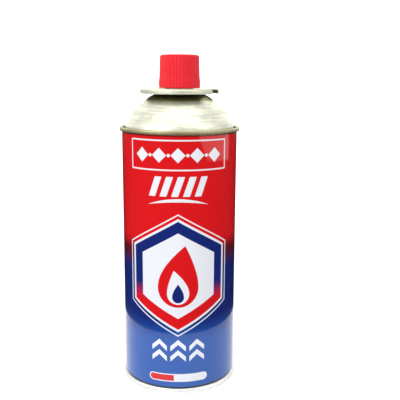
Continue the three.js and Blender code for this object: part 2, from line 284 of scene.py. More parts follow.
def coiled(radius, wire, low, high, turns):
    """A round wire wound about the Z axis, with closed ends."""
    work_mesh = bmesh.new()
    rise = (high - low) / (2 * math.pi * turns)
    around = [2 * math.pi * side / WIRE_SIDES for side in range(WIRE_SIDES)]
    rings = []
    for step in range(turns * COIL_STEPS + 1):
        angle = 2 * math.pi * step / COIL_STEPS
        outward = Vector((math.cos(angle), math.sin(angle), 0.0))
        along = Vector((-radius * math.sin(angle), radius * math.cos(angle), rise)).normalized()
        upward = outward.cross(along)
        centre = outward * radius + Vector((0.0, 0.0, low + rise * angle))
        rings.append([work_mesh.verts.new(
            centre + wire * (outward * math.cos(turn) + upward * math.sin(turn))) for turn in around])
    for lower, upper in zip(rings, rings[1:]):
        for side in range(WIRE_SIDES):
            after = (side + 1) % WIRE_SIDES
            work_mesh.faces.new((lower[side], lower[after], upper[after], upper[side]))
    work_mesh.faces.new(rings[0][::-1])
    work_mesh.faces.new(rings[-1])
    return work_mesh


def cut_with(piece, cutter):
    """Cuts one object out of another, bakes the cut into its mesh and drops the cutter."""
    modifier = piece.modifiers.new("cut", "BOOLEAN")
    modifier.operation = "DIFFERENCE"
    modifier.solver = "EXACT"
    modifier.object = cutter
    graph = bpy.context.evaluated_depsgraph_get()
    result = bpy.data.meshes.new_from_object(piece.evaluated_get(graph))
    result.name = piece.data.name
    piece.modifiers.clear()
    piece.data = result
    piece.data.set_sharp_from_angle(angle=SHARP_ANGLE)
    bpy.data.objects.remove(cutter)


# Materials

# Sockets of the Mix node that take and give colours
MIX_COLOURS = (6, 7)
MIX_RESULT = 2
SHOWN_RAYS = ("Is Camera Ray", "Is Glossy Ray", "Is Transmission Ray")


class Field:
    """A number that varies over a surface. What is worked out with it becomes nodes."""

    def __init__(self, nodes, socket):
        self.nodes = nodes
        self.socket = socket

    def __add__(self, other):
        return calc("ADD", self, other)

    def __sub__(self, other):
        return calc("SUBTRACT", self, other)

    def __rsub__(self, other):
        return calc("SUBTRACT", other, self)

    def __mul__(self, other):
        return calc("MULTIPLY", self, other)

    def __truediv__(self, other):
        return calc("DIVIDE", self, other)

    def __abs__(self):
        return calc("ABSOLUTE", self)

    def spread(self, low, high):
        """The field's 0 to 1 spread over another range."""
        node = self.nodes.add("ShaderNodeMapRange")
        node.inputs["To Min"].default_value = low
        node.inputs["To Max"].default_value = high
        self.nodes.feed(self, node.inputs["Value"])
        return Field(self.nodes, node.outputs[0])

    def step(self, start, end):
        """A smooth step from 0 at start to 1 at end."""
        node = self.nodes.add("ShaderNodeMapRange", interpolation_type="SMOOTHSTEP")
        node.inputs["From Min"].default_value = start
        node.inputs["From Max"].default_value = end
        self.nodes.feed(self, node.inputs["Value"])
        return Field(self.nodes, node.outputs[0])


def calc(operation, *values, clamp=False):
    """A Math node on fields and plain numbers."""
    nodes = next(value.nodes for value in values if isinstance(value, Field))
    node = nodes.add("ShaderNodeMath", operation=operation, use_clamp=clamp)
    for value, socket in zip(values, node.inputs):
        nodes.feed(value, socket)
    return Field(nodes, node.outputs[0])


def least(first, *others):
    for other in others:
        first = calc("MINIMUM", first, other)
    return first


def most(first, *others):
    for other in others:
        first = calc("MAXIMUM", first, other)
    return first


def squared(value):
    return calc("POWER", value, 2.0)


def reach(across, up):
    """Distance of a point from the middle of its plane."""
    return calc("SQRT", squared(across) + squared(up))


class Nodes:
    """A node tree and short ways to add to it."""

    def __init__(self, tree):
        self.tree = tree

    def add(self, kind, **settings):
        node = self.tree.nodes.new(kind)
        for key, value in settings.items():
            setattr(node, key, value)
        return node

    def feed(self, value, socket):
        """Gives a socket a plain value, or a link from a field or another socket."""
        if isinstance(value, Field):
            value = value.socket
        if isinstance(value, bpy.types.NodeSocket):
            self.tree.links.new(value, socket)
        else:
            socket.default_value = value

    def shown(self):
        """1 where the camera sees the surroundings, straight or in gloss or glass, and 0 elsewhere."""
        rays = self.add("ShaderNodeLightPath").outputs
        return most(*(Field(self, rays[name]) for name in SHOWN_RAYS))


class Finish(Nodes):
    """One material, from its shader's own sockets and what is fed to them."""

    def __init__(self, name, base, roughness, metallic=0.0):
        self.material = bpy.data.materials.new(name)
        self.material.use_nodes = True
        super().__init__(self.material.node_tree)
        self.shader = self.tree.nodes["Principled BSDF"]
        self.set("Base Color", (*base, 1.0))
        self.set("Roughness", roughness)
        self.set("Metallic", metallic)
        self.place = self.add("ShaderNodeTexCoord").outputs["Object"]
        split = self.add("ShaderNodeSeparateXYZ")
        self.feed(self.place, split.inputs[0])
        self.x, self.y, self.z = (Field(self, socket) for socket in split.outputs)

    def set(self, socket, value):
        self.feed(value, self.shader.inputs[socket])

    def blend(self, share, first, second):
        """One colour where the share is 0 and the other where it is 1."""
        node = self.add("ShaderNodeMix", data_type="RGBA")
        self.feed(share, node.inputs["Factor"])
        for value, index in zip((first, second), MIX_COLOURS):
            self.feed((*value, 1.0) if isinstance(value, tuple) else value, node.inputs[index])
        return node.outputs[MIX_RESULT]

    def grain(self, scale, detail=3.0, squeeze=None):
        """Noise with a scale per metre, squeezed along an axis where squeeze says so."""
        place = self.place
        if squeeze:
            mapping = self.add("ShaderNodeMapping")
            mapping.inputs["Scale"].default_value = squeeze
            self.feed(place, mapping.inputs["Vector"])
            place = mapping.outputs[0]
        node = self.add("ShaderNodeTexNoise")
        node.inputs["Scale"].default_value = scale
        node.inputs["Detail"].default_value = detail
        self.feed(place, node.inputs["Vector"])
        return Field(self, node.outputs["Fac"])

    def bump(self, height, distance, strength):
        node = self.add("ShaderNodeBump")
        node.inputs["Distance"].default_value = distance
        node.inputs["Strength"].default_value = strength
        self.feed(height, node.inputs["Height"])
        self.set("Normal", node.outputs[0])


# Places and sizes of the print, on the wall unrolled around its front

PRINT_CENTRE = -0.8 * MM
INK_EDGE = 0.12 * MM
REPEATS = 10
FRAME_Z = 136.9 * MM
FRAME_HALF = (28.5 * MM, 7.9 * MM)
FRAME_CORNER = 0.4 * MM
FRAME_LINE = 0.8 * MM
DIAMOND_PITCH = 10.4 * MM
DIAMOND_REACH = 4.0 * MM
DIAMOND_ROW_HALF = 25.0 * MM
DOT_RADIUS = 0.9 * MM
BARS_Z = 120.1 * MM
BAR_COUNT = 5
BAR_PITCH = 6.4 * MM
BAR_HALF = (1.9 * MM, 5.4 * MM)
BAR_CORNER = 0.3 * MM
BAR_LEAN = 0.35
ARCH_Z = 112.6 * MM
ARCH_HALF = 17.0 * MM
ARCH_SAG = 2.6 * MM
ARCH_THICKNESS = 1.8 * MM
HEXAGON_TURN = math.radians(60)
BADGE_Z = 70.0 * MM
BADGE_APOTHEM = 28.2 * MM
BADGE_EDGE = 1.3 * MM
BADGE_BAND = 5.6 * MM
BADGE_FADE = (66.0 * MM, 54.0 * MM)
RIM_GAP = 1.9 * MM
RIM_LINE = 0.7 * MM
CHEVRON_Z = (31.4 * MM, 25.2 * MM)
CHEVRON_COUNT = 3
CHEVRON_PITCH = 10.8 * MM
CHEVRON_HALF_WIDTH = 4.4 * MM
CHEVRON_RISE = 4.0 * MM
CHEVRON_LINE = 3.0 * MM
PILL_Z = 9.7 * MM
PILL_HALF = (17.2 * MM, 2.4 * MM)
PILL_EDGE = 0.6 * MM
PILL_SPLIT = -2.4 * MM
RED_FADE = (91.0 * MM, 82.0 * MM)
NAVY_FADE = (83.0 * MM, 71.0 * MM)
PALER_FADE = (46.0 * MM, 30.0 * MM)
# Painted shade: a dark line under the upper seam and above the lower seam, its width and its tones
SEAM_SHADE_WIDTH = 1.0 * MM
TOP_SEAM_SHADE_TONE = (0.12, 0.012, 0.01)
FOOT_SEAM_SHADE_TONE = (0.004, 0.005, 0.012)
WELD_AZIMUTH = math.radians(96)
WELD_HALF_WIDTH = 1.4 * MM
WELD_BEAD_HALF_WIDTH = 0.35 * MM

# Flames, one inside the other: colour, the round foot's middle and radius, rise to the tip, and lean
FLAME_TOP_SHARE = 0.99
FLAMES = (
    ("print_red", 63.5 * MM, 11.5 * MM, 24.0 * MM, 4.0 * MM),
    ("print_white", 59.9 * MM, 6.2 * MM, 13.5 * MM, -2.4 * MM),
    ("print_navy", 57.9 * MM, 3.3 * MM, 7.6 * MM, 0.0),
)


# Print marks, as distances to simple shapes: negative inside

def slab(across, up, half_width, half_height, rounding):
    """Distance to a rounded rectangle."""
    aside = abs(across) - (half_width - rounding)
    above = abs(up) - (half_height - rounding)
    outside = reach(most(aside, 0.0), most(above, 0.0))
    inside = least(most(aside, above), 0.0)
    return outside + inside - rounding


def hexagon(across, up, apothem):
    """Distance to a hexagon that stands on a corner."""
    aside = abs(across)
    slope = aside * math.cos(HEXAGON_TURN) + abs(up) * math.sin(HEXAGON_TURN)
    return most(aside, slope) - apothem


def flame(across, up, radius, height, lean):
    """Distance-like field of a flame: a round foot that narrows to a leaning tip."""
    lift = calc("DIVIDE", most(up, 0.0), height, clamp=True)
    swell = calc("SQRT", calc("MULTIPLY_ADD", lift, 2.0, 1.0))
    width = (1.0 - lift) * swell * radius
    leaning = across - squared(lift) * lean
    upper = most(abs(leaning) - width, up - height * FLAME_TOP_SHARE)
    lower = reach(across, least(up, 0.0)) - radius
    above = calc("GREATER_THAN", up, 0.0)
    return upper * above + lower * (1.0 - above)


def line_around(distance, thickness):
    """A line of the given thickness along a shape's edge."""
    return abs(distance) - thickness / 2


def ink(distance):
    """Coverage of a shape with a soft printed edge."""
    return distance.step(INK_EDGE, -INK_EDGE)


def repeated(across, pitch):
    """Distance to the middle of the nearest copy in a row of copies."""
    shifted = across + (REPEATS + 0.5) * pitch
    return abs(calc("PINGPONG", shifted, pitch / 2) - pitch / 2)


def within(shape, across, half_width):
    """A shape kept to a strip around the middle."""
    return most(shape, abs(across) - half_width)


def diamond_row(across, height):
    """A frame with a row of diamonds and dots."""
    up = height - FRAME_Z
    border = line_around(slab(across, up, *FRAME_HALF, FRAME_CORNER), FRAME_LINE)
    diamonds = repeated(across, DIAMOND_PITCH) + abs(up) - DIAMOND_REACH
    dots = reach(repeated(across + DIAMOND_PITCH / 2, DIAMOND_PITCH), abs(up)) - DOT_RADIUS
    return least(border, within(least(diamonds, dots), across, DIAMOND_ROW_HALF))


def bar_group(across, height):
    """A row of leaning bars over a slim arch."""
    up = height - BARS_Z
    leaning = across - up * BAR_LEAN
    bars = slab(repeated(leaning, BAR_PITCH), up, *BAR_HALF, BAR_CORNER)
    bars = within(bars, leaning, BAR_COUNT / 2 * BAR_PITCH)
    share = squared(across / ARCH_HALF)
    middle = calc("MULTIPLY_ADD", share, ARCH_SAG, height - ARCH_Z)
    half = calc("SUBTRACT", 1.0, share, clamp=True) * (ARCH_THICKNESS / 2)
    return least(bars, within(abs(middle) - half, across, ARCH_HALF))


def chevron_rows(across, height):
    """Rows of chevrons that point up."""
    aside = repeated(across, CHEVRON_PITCH)
    slope = aside * (CHEVRON_RISE / CHEVRON_HALF_WIDTH)
    rows = [line_around(height - level + slope, CHEVRON_LINE) for level in CHEVRON_Z]
    rows = most(least(*rows), aside - CHEVRON_HALF_WIDTH)
    return within(rows, across, CHEVRON_COUNT / 2 * CHEVRON_PITCH)


def printed_badge(finish, across, tone):
    """A hexagon with a two-colour band around a flame."""
    badge = hexagon(across, finish.z - BADGE_Z, BADGE_APOTHEM)
    rim = line_around(badge - RIM_GAP, RIM_LINE)
    tone = finish.blend(ink(least(badge, rim)), tone, shade("print_white"))
    band = badge + BADGE_EDGE
    band_tone = finish.blend(finish.z.step(*BADGE_FADE), shade("print_navy"), shade("print_red"))
    tone = finish.blend(ink(band), tone, band_tone)
    tone = finish.blend(ink(band + BADGE_BAND), tone, shade("print_white"))
    for colour, foot_z, radius, height, lean in FLAMES:
        shape = flame(across, finish.z - foot_z, radius, height, lean)
        tone = finish.blend(ink(shape), tone, shade(colour))
    return tone


def printed_pill(finish, across, tone):
    """A pill in two colours."""
    pill = slab(across, finish.z - PILL_Z, *PILL_HALF, PILL_HALF[1])
    tone = finish.blend(ink(pill), tone, shade("print_white"))
    left = most(pill + PILL_EDGE, across - PILL_SPLIT)
    return finish.blend(ink(left), tone, shade("print_red"))


def printed_fields(finish):
    """The red, maroon, navy and blue fields that fade into one another, without the marks."""
    lower = finish.blend(finish.z.step(*PALER_FADE), shade("print_navy"), shade("print_blue"))
    upper = finish.blend(finish.z.step(*RED_FADE), shade("print_red"), shade("print_maroon"))
    return finish.blend(finish.z.step(*NAVY_FADE), upper, lower)


# Finish of the print. A scale is a noise's per metre, and a relief is a bump's depth and strength
PRINT_SPECULAR = 0.05
PRINT_GRAIN = 240
PRINT_ROUGHNESS = (0.26, 0.32)
COAT_ROUGHNESS = 0.04
BARE_METAL = 0.9
RIPPLE_SCALE = 60
RIPPLE_SQUEEZE = (1.0, 1.0, 0.25)
RIPPLE_SHARE = 0.1
PRINT_RELIEF = (0.1 * MM, 0.5)


def printed_finish():
    """Glossy print on tinplate: fields that fade, plain marks and a bare strip along the weld."""
    finish = Finish("printed tinplate", shade("print_red"), PRINT_ROUGHNESS[1])
    sizes = bpy.context.scene.can_sizes
    turn = calc("ARCTAN2", finish.x, finish.y * -1.0)
    half_turn = calc("WRAP", turn, math.pi / 2, -math.pi / 2)
    across = half_turn * sizes.body_radius - PRINT_CENTRE

    marks = least(*(make(across, finish.z) for make in (diamond_row, bar_group, chevron_rows)))
    tone = finish.blend(ink(marks), printed_fields(finish), shade("print_white"))
    top = CURL_TOP_Z - sizes.dome_height - sizes.seam_height
    # Painted shade under each seam's shoulder, as a dark line at the top and at the foot of the print
    for edge, inward, seam_shade_tone in ((top, -SEAM_SHADE_WIDTH, TOP_SEAM_SHADE_TONE),
                                      (FOOT_Z + sizes.foot_height, SEAM_SHADE_WIDTH, FOOT_SEAM_SHADE_TONE)):
        tone = finish.blend(finish.z.step(edge + inward, edge + inward / 2), tone, seam_shade_tone)
    tone = printed_pill(finish, across, printed_badge(finish, across, tone))

    weld = abs((turn - WELD_AZIMUTH) * sizes.body_radius)
    strip = ink(weld - WELD_HALF_WIDTH)
    finish.set("Base Color", finish.blend(strip, tone, shade("tinplate")))
    finish.set("Metallic", strip * BARE_METAL)
    finish.set("Roughness", finish.grain(PRINT_GRAIN, 1.0).spread(*PRINT_ROUGHNESS))
    finish.set("Specular IOR Level", PRINT_SPECULAR)
    finish.set("Coat Weight", 1.0)
    finish.set("Coat Roughness", COAT_ROUGHNESS)
    ripple = finish.grain(RIPPLE_SCALE, 1.0, RIPPLE_SQUEEZE)
    bead = weld.step(WELD_BEAD_HALF_WIDTH, 0.0)
    finish.bump(ripple * RIPPLE_SHARE + bead, *PRINT_RELIEF)
    return finish.material


# Finish of the bare metal. A darkness is a share of the tone that it darkens
STREAK_SCALE = 55
STREAK_DETAIL = 4.0
STREAK_SQUEEZE = (1.0, 1.0, 14.0)
STREAK_SHARE = 0.75
STREAK_STEP = (0.4, 0.62)
STREAK_DARKNESS = 0.76
CRYSTAL_SCALE = 350
CRYSTAL_DETAIL = 2.0
METAL_ROUGHNESS_SHARES = (0.8, 1.3)
METAL_RELIEF = (0.02 * MM, 0.4)
# Band of painted shade and reflection under the flange: the share of darkness at its inner edge, and the
# softness of its outer edge
SHADE_BAND_INNER_DARKNESS = 0.5
SHADE_BAND_EDGE = 0.15 * MM


def times(share, values):
    return tuple(value * share for value in values)


def tinplate_finish(name, tone, roughness, painted_shade_band=None):
    """Bright metal with soft streaks around it and a faint crystal pattern.

    The optional last argument is the tone, the inner radius and the outer radius of a band of painted
    shade and reflection, darkest at its inner edge.
    """
    finish = Finish(name, tone, roughness, 1.0)
    rings = finish.grain(STREAK_SCALE, STREAK_DETAIL, STREAK_SQUEEZE)
    crystals = finish.grain(CRYSTAL_SCALE, CRYSTAL_DETAIL)
    streaks = rings * STREAK_SHARE + crystals * (1 - STREAK_SHARE)
    surface = finish.blend(streaks.step(*STREAK_STEP), tone, times(STREAK_DARKNESS, tone))
    # Painted shade and reflection: a darker band that darkens further toward its inner edge
    if painted_shade_band:
        band, inner, outer = painted_shade_band
        radius = reach(finish.x, finish.y)
        band = finish.blend(radius.step(inner, outer), times(SHADE_BAND_INNER_DARKNESS, band), band)
        surface = finish.blend(radius.step(outer + SHADE_BAND_EDGE, outer), surface, band)
    finish.set("Base Color", surface)
    finish.set("Roughness", rings.spread(*times(roughness, METAL_ROUGHNESS_SHARES)))
    finish.bump(rings, *METAL_RELIEF)
    return finish.material


# Finish of the plastic and the rubber
FLOW_SCALE = 90
FLOW_DETAIL = 2.0
FLOW_SPREAD = (0.0, 0.6)
FLOW_DARKNESS = 0.88
PLASTIC_SKIN_SCALE = 700
PLASTIC_ROUGHNESS_SHARES = (0.85, 1.2)
PLASTIC_PORE_SCALE = 1500
PLASTIC_RELIEF = (0.02 * MM, 0.3)
RUBBER_SKIN_SCALE = 400
RUBBER_ROUGHNESS = (0.6, 0.85)
RUBBER_PORE_SCALE = 1200
RUBBER_RELIEF = (0.03 * MM, 0.5)


def moulded_finish(name, tone, roughness, gloss):
    """Moulded plastic: a fine skin and a slight variation of tone where it flowed."""
    finish = Finish(name, tone, roughness)
    flow = finish.grain(FLOW_SCALE, FLOW_DETAIL).spread(*FLOW_SPREAD)
    finish.set("Base Color", finish.blend(flow, tone, times(FLOW_DARKNESS, tone)))
    skin = finish.grain(PLASTIC_SKIN_SCALE)
    finish.set("Roughness", skin.spread(*times(roughness, PLASTIC_ROUGHNESS_SHARES)))
    finish.set("Specular IOR Level", gloss)
    finish.bump(finish.grain(PLASTIC_PORE_SCALE), *PLASTIC_RELIEF)
    return finish.material


def rubber_finish(tone):
    """Matt rubber with a fine skin."""
    finish = Finish("gasket rubber", tone, RUBBER_ROUGHNESS[1])
    finish.set("Roughness", finish.grain(RUBBER_SKIN_SCALE).spread(*RUBBER_ROUGHNESS))
    finish.bump(finish.grain(RUBBER_PORE_SCALE), *RUBBER_RELIEF)
    return finish.material


class MakePrintedSleeve(bpy.types.Operator):
    """Make the printed wall of the can"""
    bl_idname = "canister.make_printed_sleeve"
    bl_label = "Printed sleeve"

    def execute(self, context):
        sizes = context.scene.can_sizes
        top = CURL_TOP_Z - sizes.dome_height - sizes.seam_height
        outer = sizes.body_radius
        inner = outer - sizes.wall
        bottom = FOOT_Z + sizes.foot_height
        profile = [(outer, bottom), (outer, top), (inner, top), (inner, bottom)]
        new_piece("printed_sleeve", turned(profile), "canister", "printed_can", "can", printed_finish())
        return {"FINISHED"}


# The dome's neck, how far its curve pulls at each end, and the closed inside below it
SEAM_ROUGHNESS = 0.4
DOME_ROUGHNESS = 0.4
NECK_CLEARANCE = 0.3 * MM
NECK_DROP = 2.7 * MM
# Width of the band of painted shade and reflection out from the neck, under the flange
NECK_SHADE_WIDTH = 3.9 * MM
SHOULDER_PULL = 4.2 * MM
NECK_PULL = (5.0 * MM, 2.2 * MM)
CURL_ARC_DEG = (-60, 180)
INSIDE_RADIUS = 5.0 * MM
INSIDE_CLEARANCE = 0.2 * MM
INSIDE_STEP = (1.0 * MM, 0.3 * MM)


class MakeUpperEnd(bpy.types.Operator):
    """Make the upper double seam, the dome and the curl around its mouth"""
    bl_idname = "canister.make_upper_end"
    bl_label = "Upper end"

    def execute(self, context):
        sizes = context.scene.can_sizes
        seam_top = CURL_TOP_Z - sizes.dome_height
        seam_inner = SEAM_RADIUS - sizes.seam_width
        self.make_seam(sizes, seam_top, seam_inner)
        self.make_dome(sizes, seam_top, seam_inner)
        return {"FINISHED"}

    def make_seam(self, sizes, seam_top, seam_inner):
        seam_bottom = seam_top - sizes.seam_height
        corner = sizes.seam_corner
        profile = [
            (sizes.body_radius - sizes.wall, seam_bottom),
            *arc(SEAM_RADIUS - corner, seam_bottom + corner, corner, -90, 0),
            *arc(SEAM_RADIUS - corner, seam_top - corner, corner, 0, 90),
            *arc(seam_inner + corner, seam_top - corner, corner, 90, 180),
            (seam_inner, seam_bottom + corner),
            (sizes.body_radius - sizes.wall, seam_bottom + corner),
        ]
        finish = tinplate_finish("seam tinplate", shade("seam"), SEAM_ROUGHNESS)
        new_piece("upper_seam", turned(profile), "canister", "tinplate", "can", finish)

    def make_dome(self, sizes, seam_top, seam_inner):
        groove = sizes.groove_width / 2
        groove_z = seam_top - sizes.chuck_depth + groove
        foot = seam_inner - sizes.groove_width
        curl = sizes.curl_thickness / 2
        curl_radius = sizes.mouth_radius + curl
        neck = (curl_radius + curl + NECK_CLEARANCE, CURL_TOP_Z - NECK_DROP)
        pull_out, pull_down = NECK_PULL
        inside_z = CUP_BOTTOM_Z - INSIDE_CLEARANCE
        step_in, step_down = INSIDE_STEP
        step_z = seam_top - sizes.chuck_depth - step_down
        profile = [
            (seam_inner, seam_top - sizes.seam_corner),
            *arc(seam_inner - groove, groove_z, groove, 0, -180),
            *bezier([
                (foot, seam_top),
                (foot, seam_top + SHOULDER_PULL),
                (neck[0] + pull_out, neck[1] - pull_down),
                neck]),
            *arc(curl_radius, CURL_TOP_Z - curl, curl, *CURL_ARC_DEG, 3 * ARC_STEPS),
            (sizes.mouth_radius, inside_z),
            (INSIDE_RADIUS, inside_z),
            (INSIDE_RADIUS, seam_top),
            (foot - step_in, step_z),
            (seam_inner, step_z),
        ]
        # Painted shade and reflection of the flange, as a darker band on the dome around the neck
        band = (shade("painted_neck_shade"), neck[0], neck[0] + NECK_SHADE_WIDTH)
        finish = tinplate_finish("dome tinplate", shade("tinplate"), DOME_ROUGHNESS, band)
        new_piece("dome", turned(profile), "canister", "tinplate", "can", finish)


# How far out the base panel pulls flat, and the rounding between it and the seam
BASE_ROUGHNESS = 0.35
PANEL_PULL_RADIUS = 19.0 * MM
CHUCK_ROUND = 0.6 * MM


class MakeLowerEnd(bpy.types.Operator):
    """Make the lower double seam and the concave base panel"""
    bl_idname = "canister.make_lower_end"
    bl_label = "Lower end"

    def execute(self, context):
        sizes = context.scene.can_sizes
        corner = sizes.seam_corner
        outer = sizes.body_radius + sizes.foot_proud
        inner = SEAM_RADIUS - sizes.seam_width
        rim = FOOT_Z + sizes.chuck_depth
        top = FOOT_Z + sizes.foot_height
        panel = rim + sizes.panel_rise
        profile = [
            *bezier([(0, panel), (PANEL_PULL_RADIUS, panel), (inner - 2 * CHUCK_ROUND, rim)]),
            *arc(inner - CHUCK_ROUND, rim - CHUCK_ROUND, CHUCK_ROUND, 90, 0),
            *arc(inner + corner, FOOT_Z + corner, corner, 180, 270),
            *arc(outer - corner, FOOT_Z + corner, corner, 270, 360),
            *arc(outer - corner, top - corner, corner, 0, 90),
            (sizes.body_radius - sizes.wall, top),
            (inner, rim + CHUCK_ROUND),
            (0, panel + sizes.wall),
        ]
        finish = tinplate_finish("base tinplate", shade("foot"), BASE_ROUGHNESS)
        new_piece("lower_end", turned(profile, False), "canister", "tinplate", "can", finish)
        return {"FINISHED"}


# Bends in the well, the rounding of the pedestal, and the notch cutter's height in skirt heights
CUP_ROUGHNESS = 0.48
UNDERSIDE_ROUGHNESS = 0.6
BEND = 1.0 * MM
SHOULDER = 1.2 * MM
CUTTER_HEIGHT = 4


class MakeMountingCup(bpy.types.Operator):
    """Make the pressed cup with the notched flange, the well and the pedestal"""
    bl_idname = "canister.make_mounting_cup"
    bl_label = "Mounting cup"

    def face(self, sizes, inset):
        """One side of the sheet, from the skirt's lower edge in to the stem's hole."""
        flange_z = PEDESTAL_TOP_Z - sizes.pedestal_rise
        floor_z = flange_z - sizes.well_depth
        return [
            (FLANGE_RADIUS - inset, flange_z - sizes.skirt_height),
            *arc(FLANGE_RADIUS - sizes.edge_round, flange_z - sizes.edge_round,
                 sizes.edge_round - inset, 0, 90),
            *arc(sizes.well_radius + BEND, flange_z - BEND, BEND - inset, 90, 180),
            *arc(sizes.well_radius - BEND, floor_z + BEND, BEND + inset, 0, -90),
            *arc(sizes.pedestal_radius + BEND, floor_z + BEND, BEND + inset, -90, -180),
            *arc(sizes.pedestal_radius - SHOULDER, PEDESTAL_TOP_Z - SHOULDER, SHOULDER - inset, 0, 90),
            (sizes.stem_hole_radius, PEDESTAL_TOP_Z - inset),
        ]

    def notch_cutter(self, sizes):
        """A block that stands across the flange's edge where the notch goes."""
        block = bmesh.new()
        bmesh.ops.create_cube(block, size=1.0)
        scale = Vector((2 * sizes.notch_depth, sizes.notch_width, CUTTER_HEIGHT * sizes.skirt_height))
        bmesh.ops.scale(block, vec=scale, verts=block.verts)
        skirt_z = PEDESTAL_TOP_Z - sizes.pedestal_rise - sizes.skirt_height
        bmesh.ops.translate(block, vec=Vector((FLANGE_RADIUS, 0, skirt_z)), verts=block.verts)
        bmesh.ops.rotate(block, verts=block.verts, cent=(0, 0, 0),
                         matrix=Matrix.Rotation(sizes.notch_azimuth, 3, "Z"))
        return placed("notch", block)

    def execute(self, context):
        sizes = context.scene.cup_sizes
        profile = self.face(sizes, 0.0) + self.face(sizes, sizes.sheet)[::-1]
        # The skirt's last rows take the second material, which is painted shade inside the skirt
        skirt_rows = ARC_STEPS + 2
        cup = turned(profile, second_from=len(profile) - skirt_rows)
        piece = new_piece(
            "pressed_cup", cup, "canister", "tinplate", "mounting_cup",
            tinplate_finish("cup tinplate", shade("cup"), CUP_ROUGHNESS),
            tinplate_finish("cup underside", shade("underside"), UNDERSIDE_ROUGHNESS))
        cut_with(piece, self.notch_cutter(sizes))
        return {"FINISHED"}


# The stem: a tail inside the spring, a collar above it and a hollow tip
STEM_ROUGHNESS = 0.25
STEM_RADIUS = 1.95 * MM
TAIL_RADIUS = 1.3 * MM
TAIL_LENGTH = 5.0 * MM
COLLAR_RADIUS = 3.0 * MM
COLLAR_TOP = 6.4 * MM
BORE_RADIUS = 0.75 * MM
BORE_FLOOR = 0.4 * MM
TIP_CHAMFER = 0.3 * MM
SPRING_ROUGHNESS = 0.3
SPRING_TURNS = 6
WIRE_RADIUS = 0.3 * MM
NYLON_ROUGHNESS = 0.5
NYLON_GLOSS = 0.5


class MakeValve(bpy.types.Operator):
    """Make the valve stem and its spring, and give the gaskets and the housing their finishes"""
    bl_idname = "canister.make_valve"
    bl_label = "Valve"

    def execute(self, context):
        self.make_stem()
        rubber = rubber_finish(shade("rubber"))
        nylon = moulded_finish("housing nylon", shade("nylon"), NYLON_ROUGHNESS, NYLON_GLOSS)
        dressed = {"cup_gasket": rubber, "stem_gasket": rubber, "valve_housing": nylon}
        for name, material in dressed.items():
            wear(frame["nodes"][name], material)
        self.make_spring()
        return {"FINISHED"}

    def make_stem(self):
        collar_bottom = STEM_BOTTOM_Z + TAIL_LENGTH
        collar_top = STEM_BOTTOM_Z + COLLAR_TOP
        profile = [
            (0, STEM_BOTTOM_Z),
            (TAIL_RADIUS, STEM_BOTTOM_Z),
            (TAIL_RADIUS, collar_bottom),
            (COLLAR_RADIUS, collar_bottom),
            (COLLAR_RADIUS, collar_top),
            (STEM_RADIUS, collar_top),
            (STEM_RADIUS, STEM_TOP_Z - TIP_CHAMFER),
            (STEM_RADIUS - TIP_CHAMFER, STEM_TOP_Z),
            (BORE_RADIUS + TIP_CHAMFER / 2, STEM_TOP_Z),
            (BORE_RADIUS, STEM_TOP_Z - TIP_CHAMFER / 2),
            (BORE_RADIUS, collar_top + BORE_FLOOR),
            (0, collar_top + BORE_FLOOR),
        ]
        finish = tinplate_finish("turned brass", shade("brass"), STEM_ROUGHNESS)
        stem = turned(profile, False, STEM_STEPS)
        new_piece("hollow_stem", stem, "stem", "stem_brass", "valve_stem", finish)

    def make_spring(self):
        """The spring under the stem's collar."""
        (_, _, low), (outer, _, high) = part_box("valve_spring")
        coil = coiled(outer - WIRE_RADIUS, WIRE_RADIUS, low + WIRE_RADIUS, high - WIRE_RADIUS,
                      SPRING_TURNS)
        finish = tinplate_finish("spring wire", shade("steel"), SPRING_ROUGHNESS)
        piece = new_piece("coil_spring", coil, "canister", "spring_steel", "valve_spring", finish)
        1 - STEM_TRAVEL / (high - low)
        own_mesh(piece)


# The cap's lower lip, its flare above and below the waist, and its fins
CAP_ROUGHNESS = 0.42
CAP_GLOSS = 0.3
CAP_LIP = 0.25 * MM
CAP_FLARE = 2.2 * MM
FLUTE_ROOM = 0.22 * MM
FIN_GAP = 0.2 * MM
FIN_ROOT = 0.4 * MM
FIN_REACH_RADIUS = 5.5 * MM
LEDGE_GAP = 0.1 * MM
LEDGE_HEIGHT = 3.0 * MM


